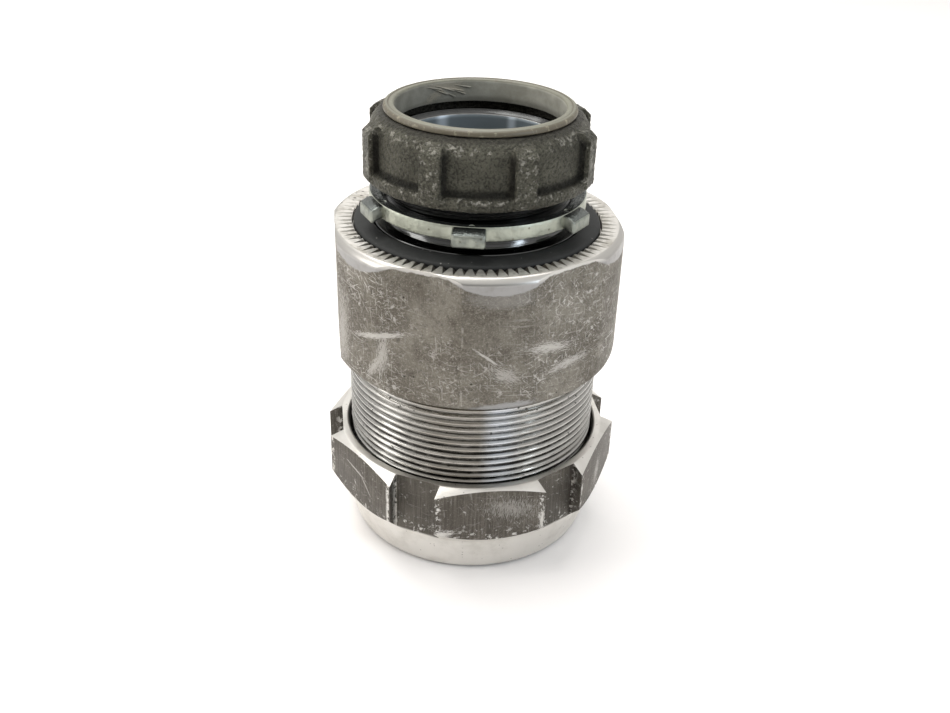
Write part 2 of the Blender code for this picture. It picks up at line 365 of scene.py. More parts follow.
def soften(piece, width, limit=11.0, segments=2, where=lambda middle: True):
    """Bevels the edges that are sharper than a limit in degrees."""
    edit(piece)
    bpy.ops.mesh.select_mode(type="EDGE")
    bpy.ops.mesh.select_all(action="DESELECT")
    mesh = bmesh.from_edit_mesh(piece.data)
    for edge in mesh.edges:
        sharp = len(edge.link_faces) == 2 and edge.calc_face_angle() > radians(limit)
        if sharp and where((edge.verts[0].co + edge.verts[1].co) / 2):
            edge.select_set(True)
    mesh.select_flush_mode()
    bmesh.update_edit_mesh(piece.data)
    bpy.ops.mesh.bevel(offset=width, segments=segments, clamp_overlap=True)
    bpy.ops.mesh.select_mode(type="VERT")
    done()
    return piece


def threaded_rod(name, crest, depth, pitch, low, high, land=0.30, start=0.0):
    """A solid rod with a helical ridge, from a zigzag line that is wound up the axis."""
    root, shoulder = crest - depth, crest - 0.12 * depth
    rise = (1 - land) / 2
    shape = [
        (root, 0.0),
        (root, 0.10),
        (shoulder, rise),
        (crest, rise + 0.06),
        (crest, 1 - rise - 0.06),
        (shoulder, 1 - rise),
        (root, 0.90),
        (root, 1.0),
    ]
    pick()
    bpy.ops.mesh.primitive_plane_add(size=pitch, location=(root, 0, low + (start - 2) * pitch))
    rod = named(name)
    edit(rod)
    bpy.ops.mesh.merge(type="CENTER")
    for (was, at), (radius, share) in zip(shape, shape[1:]):
        pulled((radius - was, 0), (share - at) * pitch)
    done()
    wound(rod, pitch, int((high - low) / pitch) + 4, 96)
    edit(rod)
    bpy.ops.mesh.remove_doubles(threshold=2e-6)
    for height, clear in ((low, "clear_inner"), (high, "clear_outer")):
        bpy.ops.mesh.select_all(action="SELECT")
        bpy.ops.mesh.bisect(
            plane_co=(0, 0, height),
            plane_no=(0, 0, 1),
            use_fill=True,
            threshold=1e-7,
            **{clear: True},
        )
    bpy.ops.mesh.select_all(action="SELECT")
    bpy.ops.mesh.normals_make_consistent(inside=False)
    done()
    return rod


def place(piece, body, node, material, angle=28.0):
    """Finishes a piece: smooth shading, material and body, and hides the CAD part that it stands
    for.
    """
    pick(piece)
    bpy.ops.object.shade_smooth_by_angle(angle=radians(angle))
    piece.data.materials.clear()
    piece.data.materials.append(material)
    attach(piece, body)
    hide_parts(node)
    return piece


# ---------------------------------------------------------------------------
# Shader helpers
# ---------------------------------------------------------------------------


class Wire:
    """A value in a shader: arithmetic on it adds Math nodes, and | takes the larger."""

    def __init__(self, tree, socket):
        self.tree, self.socket = tree, socket

    def __add__(self, other):
        return maths("ADD", self, other)

    def __sub__(self, other):
        return maths("SUBTRACT", self, other)

    def __mul__(self, other):
        return maths("MULTIPLY", self, other)

    def __truediv__(self, other):
        return maths("DIVIDE", self, other)

    def __mod__(self, other):
        return maths("MODULO", self, other)

    def __or__(self, other):
        return maths("MAXIMUM", self, other)

    def __abs__(self):
        return maths("ABSOLUTE", self)


def feed(tree, socket, value):
    """Gives an input its value: a wire, a number, or a colour of three parts."""
    if isinstance(value, Wire):
        tree.links.new(value.socket, socket)
    elif socket.type == "RGBA":
        socket.default_value = (*value, 1.0)
    else:
        socket.default_value = value


def add(tree, kind, wires=None, out=0, **settings):
    """Adds a node and gives one of its outputs, or all of them if out is None."""
    node = tree.nodes.new("ShaderNode" + kind)
    for key, value in settings.items():
        setattr(node, key, value)
    for key, value in (wires or {}).items():
        feed(tree, node.inputs[key], value)
    if out is None:
        return [Wire(tree, socket) for socket in node.outputs]
    return Wire(tree, node.outputs[out])


def maths(operation, first, second=0.0, clamp=False):
    tree = (first if isinstance(first, Wire) else second).tree
    return add(tree, "Math", {0: first, 1: second}, operation=operation, use_clamp=clamp)


def fused(value, factor, addend, clamp=False):
    """Value times factor plus addend, in one node."""
    wires = {0: value, 1: factor, 2: addend}
    return add(value.tree, "Math", wires, operation="MULTIPLY_ADD", use_clamp=clamp)


def span(value, low, high, to_low=0.0, to_high=1.0):
    """Maps a value between two limits to 0..1 by a smooth step, held outside them."""
    wires = {"Value": value, "From Min": low, "From Max": high, "To Min": to_low, "To Max": to_high}
    return add(value.tree, "MapRange", wires, interpolation_type="SMOOTHSTEP")


def within(value, start, full, full_end, end):
    """A mask that rises between the first two values and falls between the last two."""
    return span(value, start, full) * span(value, end, full_end)


def blend(mask, first, second):
    """Mixes two colours."""
    return add(mask.tree, "Mix", {0: mask, 6: first, 7: second}, out=2, data_type="RGBA")


def mixed(mask, first, second):
    """Mixes two numbers."""
    return add(mask.tree, "Mix", {0: mask, 2: first, 3: second}, data_type="FLOAT")


def dim(tint, share):
    """A colour made darker, or paler with a share over one."""
    return tuple(share * part for part in tint)


def strongest(masks):
    """The largest of several masks."""
    total, *rest = masks
    for mask in rest:
        total = total | mask
    return total


def noise(at, scale, detail=2.0, rough=0.5):
    wires = {"Vector": at, "Scale": scale, "Detail": detail, "Roughness": rough}
    return add(at.tree, "TexNoise", wires)


def facing_up(tree):
    """How far a face looks up, from -1 to 1."""
    return add(tree, "SeparateXYZ", {0: add(tree, "NewGeometry", out="True Normal")}, out=2)


def group(name, **inputs):
    """A new node group and a wire for each input; an input of None is a vector."""
    tree = bpy.data.node_groups.new(name, "ShaderNodeTree")
    for label, default in inputs.items():
        kind = "NodeSocketVector" if default is None else "NodeSocketFloat"
        socket = tree.interface.new_socket(label, in_out="INPUT", socket_type=kind)
        if default is not None:
            socket.default_value = default
    into = tree.nodes.new("NodeGroupInput")
    return tree, [Wire(tree, into.outputs[label]) for label in inputs]


def close_group(tree, **outputs):
    """Gives a node group its outputs."""
    for label, wire in outputs.items():
        kind = "NodeSocketVector" if wire.socket.type == "VECTOR" else "NodeSocketFloat"
        tree.interface.new_socket(label, in_out="OUTPUT", socket_type=kind)
    end = tree.nodes.new("NodeGroupOutput")
    for label, wire in outputs.items():
        tree.links.new(wire.socket, end.inputs[label])


def group_place():
    """Where a point lies on a turned piece: wrapped coordinates, radius, height and angle."""
    tree, _ = group("Place On Turning")
    point = add(tree, "TexCoord", out="Object")
    x, y, z = add(tree, "SeparateXYZ", {0: point}, out=None)
    radius = maths("SQRT", x * x + y * y)
    turn = maths("ARCTAN2", x, y * -1.0)
    wrapped = add(tree, "CombineXYZ", {0: turn * ARC_RADIUS, 1: z, 2: radius})
    close_group(
        tree, Wrapped=wrapped, Object=point, Radius=radius, Height=z, Angle=turn * (180 / pi)
    )


def group_streaks():
    """Thin streaks in one direction, such as scratches or rub marks."""
    tree, (at, turn, scale, stretch, least, most) = group(
        "Streaks", Vector=None, Turn=0.0, Scale=500.0, Stretch=20.0, Least=0.62, Most=0.68
    )
    turned = add(tree, "VectorRotate", {"Vector": at, "Angle": turn}, rotation_type="Z_AXIS")
    x, y, z = add(tree, "SeparateXYZ", {0: turned}, out=None)
    squeezed = add(tree, "CombineXYZ", {0: x / stretch, 1: y, 2: z})
    close_group(tree, Mask=span(noise(squeezed, scale, 2.0, 0.6), least, most))


def group_blotches():
    """Soft-edged patches."""
    tree, (at, scale, detail, least, most) = group(
        "Blotches", Vector=None, Scale=60.0, Detail=5.0, Least=0.45, Most=0.6
    )
    close_group(tree, Mask=span(noise(at, scale, detail, 0.62), least, most))


def group_pits():
    """Small dents and specks."""
    tree, (at, scale, size, share) = group(
        "Pits", Vector=None, Scale=900.0, Size=0.28, Share=0.6
    )
    away, tint, *_ = add(tree, "TexVoronoi", {"Vector": at, "Scale": scale}, out=None)
    chosen = maths("GREATER_THAN", add(tree, "SeparateColor", {0: tint}), share)
    close_group(tree, Mask=chosen * span(away, size, size * 0.5))


def group_grain():
    """Sand-cast grain as a height and a glint mask on the highest grains."""
    tree, (at, scale) = group("Casting Grain", Vector=None, Scale=900.0)
    wires = {"Vector": at, "Scale": scale * 1.3}
    cells = add(tree, "TexVoronoi", wires, feature="SMOOTH_F1")
    height = noise(at, scale, 6.0, 0.65) - cells * 0.5
    close_group(tree, Height=height, Glint=span(height, 0.42, 0.54))


def group_turning():
    """Fine rings left by a turning tool."""
    tree, (position, wander, lines) = group(
        "Turning Lines", Position=0.0, Wander=None, Lines=5000.0
    )
    wires = {"W": position + noise(wander, 60.0) * 0.00008, "Scale": lines, "Detail": 2.0}
    close_group(tree, Height=add(tree, "TexNoise", wires, noise_dimensions="1D"))


def use(tree, name, wires=None, out=0):
    """Places a node group in a material."""
    return add(tree, "Group", wires, out, node_tree=bpy.data.node_groups[name])


def blotches(at, scale, least, most, detail=5.0):
    wires = {"Vector": at, "Scale": scale, "Detail": detail, "Least": least, "Most": most}
    return use(at.tree, "Blotches", wires)


def pits(at, scale, size, share):
    return use(at.tree, "Pits", {"Vector": at, "Scale": scale, "Size": size, "Share": share})


def streaks(at, scale, stretch, least, most, turn=0.0):
    wires = {"Vector": at, "Turn": turn, "Scale": scale, "Stretch": stretch}
    return use(at.tree, "Streaks", {**wires, "Least": least, "Most": most})


def turning_lines(position, wander, lines):
    wires = {"Position": position, "Wander": wander, "Lines": lines}
    return use(wander.tree, "Turning Lines", wires)


def scratches(wrapped, scale, least, most):
    """Crossing scratches in four directions."""
    ways = ((0.10, 20.0), (0.85, 7.0), (-0.50, 8.0), (1.50, 9.0))
    return strongest(
        [streaks(wrapped, scale, stretch, least, most, turn) for turn, stretch in ways]
    )


def rub_mark(wrapped, angle, height, turn, long, wide, ragged):
    """One rub mark or torn mark at a place on the turning, lying at a slant."""
    tree = wrapped.tree
    wires = {
        "Vector": wrapped,
        "Location": (radians(angle) * ARC_RADIUS, height * MM, 0.0),
        "Rotation": (0.0, 0.0, radians(turn)),
        "Scale": (long * MM, wide * MM, 1000.0),
    }
    own = add(tree, "Mapping", wires, vector_type="TEXTURE")
    away = add(tree, "VectorMath", {0: own}, out="Value", operation="LENGTH")
    grid = (0.6 * long, 5.0 * wide, 1.0)
    streaky = add(tree, "VectorMath", {0: own, 1: grid}, operation="MULTIPLY")
    uneven = fused(noise(streaky, 1.0, 6.0, 0.7), 3.2 * ragged, away * -1.0)
    return span(uneven, 1.6 * ragged - 0.75, 1.6 * ragged - 0.50)


def marks_of(wrapped, rows):
    """Several rub marks; a row is angle, height, turn, long, wide, ragged, strength."""
    return strongest([rub_mark(wrapped, *row) * strength for *row, strength in rows])


def folded(angle, centre, step):
    """Degrees from the nearest of several places spaced evenly around the axis."""
    return abs((angle + (720.0 + step / 2 - centre)) % step - step / 2)


def new_material(name):
    material = bpy.data.materials.new(name)
    material.use_nodes = True
    return material


def begin(name):
    """A new material with a point's wrapped and own place, radius, height and angle."""
    material = new_material(name)
    return material, *use(material.node_tree, "Place On Turning", out=None)


def surface(
    material, base, rough, metal, height=None, strength=0.5, distance=0.0001, specular=0.5
):
    """Wires a colour, roughness, metallic and height into the material's shader."""
    tree = material.node_tree
    inputs = tree.nodes["Principled BSDF"].inputs
    wires = {"Base Color": base, "Roughness": rough, "Metallic": metal}
    for label, value in {**wires, "Specular IOR Level": specular}.items():
        feed(tree, inputs[label], value)
    if height is not None:
        wires = {"Height": height, "Strength": strength, "Distance": distance}
        feed(tree, inputs["Normal"], add(tree, "Bump", wires))
    return material


# ---------------------------------------------------------------------------
# Materials
# ---------------------------------------------------------------------------


def skin_finish(tints):
    """The hexagon: dull scratched skin, turned bright at the top of the corners."""
    material, wrapped, point, _, height, angle = begin("body_weathered_skin")
    ragged = noise(point, 420.0, 6.0, 0.7)
    speckle = noise(point, 2400.0, 5.0, 0.8)
    grit = noise(point, 700.0, 6.0, 0.75)
    patch = blotches(point, 85.0, 0.40, 0.66)
    skin = blend(patch * 0.55, tints.weathered, tints.pale_skin)
    skin = blend(span(speckle, 0.48, 0.70, 0.0, 0.75), skin, dim(tints.pale_skin, 1.25))
    skin = blend(span(grit, 0.52, 0.30, 0.0, 0.60), skin, dim(tints.weathered, 0.42))
    # Scratches crowd towards the left and the lower right, and along the arrises.
    corner = folded(angle, BODY_CORNER, HEX_STEP)
    side = span(angle, -22.0, -52.0) | span(angle, 2.0, 24.0, 0.0, 0.7)
    busy = fused(side, 0.45, blotches(point, 65.0, 0.40, 0.64, 4.0) * 0.6, clamp=True)
    chips = blotches(point, 520.0, 0.59, 0.66, 8.0)
    arris = span(abs(corner - 12.9), 0.55, 0.20)
    marks = strongest([
        (scratches(wrapped, 2600.0, 0.60, 0.70) | chips) * busy,
        arris * span(ragged, 0.50, 0.66, 0.0, 0.40),
        marks_of(
            wrapped,
            (
                (-38, 70.3, 17, 11.0, 1.2, 1.1, 0.90),
                (-36, 65.5, 84, 8.0, 1.8, 1.6, 0.65),
                (-40, 61.0, 60, 5.5, 1.4, 1.5, 0.65),
                (-61, 66.0, 86, 15.0, 4.5, 1.7, 0.60),
                (5, 69.6, -38, 5.2, 0.55, 0.8, 0.80),
                (30, 69.8, -12, 9.0, 1.9, 1.5, 0.80),
                (40, 63.4, 6, 8.0, 1.7, 1.5, 0.75),
                (12, 64.4, -30, 4.6, 2.6, 1.7, 0.60),
                (150, 68.0, 25, 9.0, 1.6, 1.5, 0.60),
                (-120, 74.0, -20, 8.0, 1.4, 1.5, 0.55),
            ),
        ),
    ])
    skin = blend(marks * 0.72, skin, dim(tints.bright, 0.80))
    specks = pits(point, 420.0, 0.16, 0.90)
    skin = blend(specks * 0.85, skin, tints.oil_and_shade)
    # The turned corners are bright for a few millimetres below the face.
    share = corner / 18.5
    hump = maths("SUBTRACT", 1.0, share * share, clamp=True)
    level = fused(ragged, 0.0014, height + hump * 0.0034)
    # Scuffs: the two full-strength patches low on the corners are partly painted highlights, pale
    # patches that stand in for the table's reflection; the faint row at 85.2 mm is a smear below
    # the hump.
    scuffs_and_corner_glare = marks_of(
        wrapped,
        (
            (12, 55.1, 5, 11.5, 2.3, 0.45, 1.0),
            (10, 85.2, 0, 12.0, 4.0, 0.60, 0.30),
            (128, 54.4, 4, 9.0, 2.0, 0.4, 1.0),
        ),
    )
    bare = span(level, FACE - 0.0004, FACE) | scuffs_and_corner_glare
    tone = span(ragged, 0.45, 0.75, 0.0, 0.5)
    metal = blend(tone, (0.30, 0.297, 0.292), (0.21, 0.20, 0.18))
    metal = blend(span(height, FACE - 0.0022, FACE - 0.0006), metal, dim(tints.bright, 0.74))
    # Painted highlight: low on the corners the scuffs are made rough and barely metallic, so that
    # they catch the light bounced from the table.
    foot = scuffs_and_corner_glare * span(height, HEX_BOTTOM + 0.0060, HEX_BOTTOM + 0.0040)
    rough = mixed(bare, mixed(marks, 0.60, 0.44), mixed(ragged, 0.26, 0.42))
    relief = fused(speckle, 0.5, marks * -0.6) + grit * 0.6 - specks
    return surface(
        material,
        blend(bare, skin, metal),
        mixed(foot, rough, 0.65),
        mixed(foot, mixed(bare, 0.70, 1.0), 0.25),
        mixed(bare, relief, grit * 0.25),
        0.7,
        0.00013,
    )


def turned_finish(tints):
    """The turned face with its teeth, the collar, the hub and the bore."""
    material, _, point, radius, height, angle = begin("body_turned_metal")
    ragged = noise(point, 420.0, 6.0, 0.7)
    dirt = blotches(point, 200.0, 0.44, 0.66, 9.0)
    metal = blend(dirt * 0.62, tints.bright, (0.36, 0.335, 0.28))
    on_face = span(height, FACE - 0.0030, FACE - 0.0020)
    on_face = on_face * span(radius, TOOTH_OUTER - 0.0002, TOOTH_OUTER)
    dings = pits(point, 640.0, 0.36, 0.66) * span(angle, -35.0, -75.0, 0.25, 1.0) * on_face
    metal = blend(dings, metal, (0.055, 0.050, 0.042))
    # Grime and painted shade darken the grooves between the teeth, most of it at the front.
    below = span(height, FACE - 0.00001, FACE - 0.00010) * on_face
    front = within(angle, -75.0, -45.0, 30.0, 70.0)
    metal = blend(below * (front * 0.58 + 0.38), metal, (0.155, 0.138, 0.112))
    # Painted shade and dark reflection: the metal between 21 and 28 mm from the axis (the collar,
    # the hub with its thread, and the wide bore) is made nearly black and glossy.
    hub = within(radius, 0.0209, 0.0212, 0.0276, 0.0281)
    metal = blend(hub * 0.94, metal, (0.075, 0.078, 0.080))
    # Painted reflections: the hub's throat is tinted blue-grey, and two bright streaks are painted
    # on its back wall.
    bore = span(radius, 0.0211, 0.02095) * span(height, 0.0670, 0.0690)
    metal = blend(bore, metal, (0.20, 0.235, 0.26))
    for middle, wide in ((-151.0, 7.0), (156.0, 5.0)):
        gleam = span(abs(angle - middle), wide, 0.5)
        metal = blend(gleam * bore * 0.7, metal, (0.70, 0.78, 0.86))
    rough = mixed(hub, mixed(ragged, 0.34, 0.50), 0.16)
    bumps = turning_lines(radius, point, 7000.0) * 0.45 - dings
    return surface(material, metal, rough, mixed(bore, 1.0, 0.35), bumps, 0.7, 0.00013)


def thread_finish(tints):
    """The long thread: worn crests, a painted dark reflection across the front, a painted bluish
    highlight, and roots darkened by both oil and painted shade.
    """
    material, wrapped, point, radius, height, angle = begin("body_thread_metal")
    # Painted reflection: the front of the thread is darkened brown where it would mirror the dim
    # room in front of it.
    front_dark_reflection = within(angle, -40.0, -12.0, 4.0, 22.0)
    metal = blend(front_dark_reflection, (0.38, 0.374, 0.355), (0.250, 0.233, 0.205))
    # Painted highlight: a bluish streak just right of the front.
    shine = within(angle, 3.0, 11.0, 14.0, 24.0)
    metal = blend(shine * 0.6, metal, (0.62, 0.68, 0.76))
    streaky = streaks(wrapped, 1300.0, 14.0, 0.36, 0.66)
    metal = blend(streaky * 0.32, metal, (0.62, 0.61, 0.585))
    # Oil and painted shade: the roots are darkened, in patches and more towards the bottom.
    root_oil_and_shade = mixed(blotches(point, 300.0, 0.30, 0.55, 6.0), 0.60, 0.98)
    root = span(radius, THREAD_CREST - 0.00022, THREAD_CREST - 0.00070)
    root = root * span(height, 0.0515, 0.0370, 0.28, 0.95)
    metal = blend(root * root_oil_and_shade, metal, tints.oil_and_shade)
    specked = pits(wrapped, 700.0, 0.30, 0.90)
    metal = blend(specked * 0.8, metal, tints.oil_and_shade)
    # Painted shade: the run-out just under the hexagon's overhang is darkened.
    runout_shade = span(height, HEX_BOTTOM - 0.0018, HEX_BOTTOM - 0.0015)
    metal = blend(runout_shade * 0.80, metal, (0.12, 0.11, 0.092))
    rough = mixed(streaky, 0.18, 0.32)
    return surface(material, metal, rough, 1.0, streaky - specked, 0.5, 0.00006)


def nut_finish(tints):
    """Aluminium gland nut: dull striated facets, bright turned cone, ring and skirt."""
    material, wrapped, point, radius, height, angle = begin("worn_nut_aluminium")
    facing = facing_up(material.node_tree)
    ragged = noise(point, 600.0, 6.0, 0.72)
    skirt = span(height, 0.0132, 0.0124)
    bare = span(facing, 0.20, 0.40) | span(facing, -0.25, -0.42) | skirt
    streak = streaks(wrapped, 2300.0, 30.0, 0.38, 0.80, pi / 2)
    skin = blend(streak * 0.70, (0.070, 0.062, 0.052), (0.165, 0.150, 0.130))
    patch = blotches(wrapped, 120.0, 0.42, 0.75)
    skin = blend(patch * 0.22, skin, tints.pale_skin)
    speckle = noise(wrapped, 2600.0, 5.0, 0.8)
    skin = blend(span(speckle, 0.50, 0.75, 0.0, 0.5), skin, tints.pale_skin)
    slot_side = folded(angle, NUT_CORNER, HEX_STEP)
    # Painted shade: the faces inside the slots are darkened a little.
    slot_shade = span(slot_side, 10.1, 9.85)
    skin = blend(slot_shade * 0.20, skin, (0.060, 0.058, 0.050))
    # Metal torn at the slots' walls, rubbed lower corners and scratches.
    worst = span(angle, -20.0, -26.0, 0.0, 0.045) * span(angle, -36.0, -32.0)
    torn = within(slot_side, 9.2, 9.8, 10.4, 11.8) * span(ragged + worst, 0.50, 0.56)
    marks = strongest([
        torn,
        span(height, 0.0190, 0.0150) * span(ragged, 0.575, 0.61, 0.0, 0.9),
        blotches(wrapped, 560.0, 0.62, 0.68, 8.0) * 0.55,
        scratches(wrapped, 1700.0, 0.65, 0.72) * 0.16,
        marks_of(
            wrapped,
            (
                (-54, 24.2, -12, 6.0, 0.45, 0.9, 0.55),
                (-47, 21.6, -46, 5.0, 0.45, 0.9, 0.40),
                (17, 23.8, 84, 3.4, 6.5, 2.4, 0.30),
                (-10, 16.4, 12, 4.0, 1.6, 1.4, 0.90),
                (28.8, 19.0, 90, 6.0, 0.75, 1.2, 0.85),
                (70, 20.0, 80, 5.0, 2.6, 1.7, 0.45),
                (170, 22.0, 10, 6.0, 1.6, 1.5, 0.60),
            ),
        ),
    ])
    skin = blend(marks, skin, dim(tints.bright, 0.86))
    dirt = blotches(wrapped, 130.0, 0.42, 0.8, 7.0)
    metal = blend(dirt * 0.50, tints.bright, (0.42, 0.40, 0.35))
    freckle = pits(wrapped, 900.0, 0.24, 0.86)
    metal = blend(freckle * 0.55, metal, (0.12, 0.11, 0.09))
    # Painted shade: the gap between the nut's bore and the thread is made as dark as oil.
    gap_shade = span(radius, 0.0354, 0.0351) * span(height, 0.0200, 0.0230)
    metal = blend(gap_shade, metal, tints.oil_and_shade)
    # Painted contact shadow: the lowest millimetre of the skirt is darkened.
    foot = span(height, 0.0012, 0.0003)
    metal = blend(foot * 0.75, metal, (0.14, 0.13, 0.12))
    relief = streak * 0.5 + marks * 0.6
    return surface(
        material,
        blend(bare, skin, metal),
        mixed(bare, 0.50, mixed(ragged, 0.30, 0.48)),
        mixed(bare, 0.80, 1.0),
        mixed(bare, relief, turning_lines(height, wrapped, 5000.0) * 0.4),
        0.7,
        0.00016,
    )


def iron_finish(tints):
    """Sand-cast malleable iron: dark grain with painted glints and rubbed metal on the proud
    grains.
    """
    material, _, point, radius, height, angle = begin("cast_iron_grain")
    wires = {"Vector": point, "Scale": 1500.0}
    grain, glint = use(point.tree, "Casting Grain", wires, out=None)
    coarse = noise(point, 520.0, 4.0, 0.7)
    base = blend(blotches(point, 150.0, 0.35, 0.7), tints.iron, dim(tints.iron, 1.45))
    base = blend(span(grain, 0.30, 0.16, 0.0, 0.60), base, dim(tints.iron, 0.25))
    # Painted glints: pale flecks on the highest grains, more of them on the proud faces.
    proud = span(radius, 0.0282, 0.0292)
    glint = glint * (proud * 0.32 + 0.07)
    base = blend(glint, base, tints.iron_glint)

    def band(start, *at):
        return within(height, *(start + MM * step for step in at))

    # Painted shade with some grime darkens the panels where they meet a rib or the skirt.
    rib = folded(angle, RIB_ANGLE, 360 / RIBS)
    rib_shade_and_grime = within(rib, 4.8, 5.4, 6.0, 8.8) | band(SHELL_LOW, 3.0, 3.6, 4.2, 5.6)
    rib_shade_and_grime = rib_shade_and_grime * span(radius, 0.0291, 0.0287)
    panel = within(
        height, SHELL_LOW + 0.0030, SHELL_LOW + 0.0036, SHELL_TOP - 0.0040, SHELL_TOP - 0.0026
    )
    rib_shade_and_grime = rib_shade_and_grime * panel * span(coarse, 0.30, 0.60, 0.70, 1.0)
    base = blend(rib_shade_and_grime, base, dim(tints.iron, 0.22))
    # Painted highlights with rubbed metal: the skirt's upper edge, the shoulder and the rib tops
    # are made paler.
    rubbed_and_highlit = strongest([
        band(SHELL_LOW, 1.6, 2.6, 3.0, 4.4) * proud,
        band(SHELL_TOP, -4.0, -3.0, -1.6, -0.6) * 0.7,
        span(rib, 4.8, 3.6) * (proud * 0.8),
    ])
    rubbed_and_highlit = rubbed_and_highlit * span(coarse, 0.52, 0.64, 0.0, 0.50)
    base = blend(rubbed_and_highlit, base, dim(tints.iron_glint, 1.25))
    # Painted shade: the bushing's inner faces are darkened.
    inner = span(radius, 0.0262, 0.0252)
    base = blend(inner * 0.6, base, tints.oil_and_shade)
    rough = mixed(glint, 0.46, 0.28)
    return surface(material, base, rough, 0.75, grain + coarse * 0.8, 1.0, 0.00065)


def zinc_finish(tints):
    """Zinc-plated stamped steel: matte rim, darker glossy top and inner edge, darker lug faces and
    rust specks.
    """
    material, _, point, radius, _, _ = begin("zinc_plated_steel")
    cloudy = blotches(point, 260.0, 0.35, 0.7, 6.0)
    base = blend(cloudy, tints.zinc, dim(tints.zinc, 0.72))
    inner = span(radius, LOCKNUT_HIGH.x - 0.0040, LOCKNUT_HIGH.x - 0.0048)
    upper = inner | span(facing_up(material.node_tree), 0.55, 0.85)
    base = blend(upper * 0.80, base, (0.10, 0.115, 0.12))
    beyond = span(radius, 0.0282, 0.0287) * mixed(cloudy, 0.35, 0.85)
    base = blend(beyond, base, (0.17, 0.185, 0.175))
    rust = pits(point, 800.0, 0.30, 0.84)
    base = blend(rust * 0.6, base, (0.10, 0.09, 0.06))
    rough = mixed(upper, mixed(cloudy, 0.34, 0.46), 0.20)
    return surface(material, base, rough, 0.90, noise(point, 1400.0, 4.0) + cloudy, 0.6, 0.00020)


def rubber_finish(tints, name="black_rubber"):
    """Moulded rubber with a dusty bloom."""
    material, wrapped, point, *_ = begin(name)
    dusty = blotches(wrapped, 220.0, 0.42, 0.8, 8.0)
    base = blend(dusty * 0.5, tints.rubber, (0.040, 0.042, 0.040))
    base = blend(pits(point, 1100.0, 0.25, 0.9) * 0.7, base, (0.35, 0.34, 0.32))
    rough = mixed(dusty, 0.55, 0.72)
    grain = noise(point, 1600.0, 3.0)
    return surface(material, base, rough, 0.0, grain, 0.3, 0.0001, specular=0.25)


def liner_finish(tints):
    """Grey moulded plastic, worn pale on the rim and stained under it."""
    material, wrapped, point, radius, height, _ = begin("liner_plastic_worn")
    cloudy = blotches(point, 180.0, 0.35, 0.72, 7.0)
    rings = add(point.tree, "Mapping", {"Vector": point, "Scale": (0.06, 0.06, 1.0)})
    wall = blend(cloudy, (0.26, 0.255, 0.215), (0.42, 0.415, 0.360))
    streak = blotches(rings, 1500.0, 0.45, 0.7)
    wall = blend(streak * 0.35, wall, (0.32, 0.315, 0.285))
    across = span(add(point.tree, "SeparateXYZ", {0: point}), 0.006, -0.014, 0.0, 0.75)
    shaded = across | span(height, LINER_LOW + 0.0022, LINER_LOW + 0.0006)
    wall = blend(shaded * 0.60, wall, (0.075, 0.070, 0.058))
    gouge = marks_of(
        wrapped,
        (
            (-148, 117.6, -20, 9.0, 1.6, 1.5, 0.8),
            (-160, 118.6, 12, 8.0, 1.2, 1.3, 0.9),
            (-152, 119.6, 0, 12.0, 0.9, 1.4, 0.8),
        ),
    )
    wall = blend(gouge, wall, (0.30, 0.275, 0.22))
    rim = blend(cloudy, tints.liner, dim(tints.liner, 1.25))
    scar = blotches(point, 600.0, 0.56, 0.66, 6.0)
    rim = blend(scar * 0.65, rim, (0.13, 0.11, 0.08))
    groove = within(radius, 0.02262, 0.02282, 0.02298, 0.02315)
    rim = blend(groove * 0.75, rim, (0.10, 0.085, 0.06))
    base = blend(span(height, LINER_TOP - 0.0007, LINER_TOP - 0.0003), wall, rim)
    stain = span(height, LINER_TOP - 0.00004, LINER_TOP - 0.00022)
    stain = stain * span(radius, 0.02345, 0.02365)
    base = blend(stain, base, blend(scar, (0.100, 0.087, 0.058), (0.22, 0.20, 0.145)))
    rough = mixed(cloudy, 0.42, 0.58)
    return surface(material, base, rough, 0.0, noise(point, 1300.0, 4.0), 0.45, 0.00015)


def steel_finish(name, tint, rough, metal=1.0, lines=6000.0):
    """A plain turned or drawn finish for the pieces inside."""
    material, _, point, radius, *_ = begin(name)
    cloudy = blotches(point, 240.0, 0.45, 0.6, 6.0)
    base = blend(cloudy * 0.5, tint, dim(tint, 0.7))
    rough = mixed(cloudy, rough, rough + 0.12)
    return surface(material, base, rough, metal, turning_lines(radius, point, lines), 0.3, 0.00008)


# ---------------------------------------------------------------------------
# Operators, one for each piece or group of like pieces
# ---------------------------------------------------------------------------


class Step:
    """What the operators share: each builds from the sizes and the colours."""

    def execute(self, context):
        self.build(context.scene.fitting_sizes, context.scene.fitting_colours)
        return {"FINISHED"}


class FITTING_OT_finishes(Step, bpy.types.Operator):
    """Builds the shared shader groups."""

    bl_idname = "fitting.finishes"
    bl_label = "Shader Groups"

    def build(self, sizes, tints):
        group_place()
        group_streaks()
        group_blotches()
        group_pits()
        group_grain()
        group_turning()


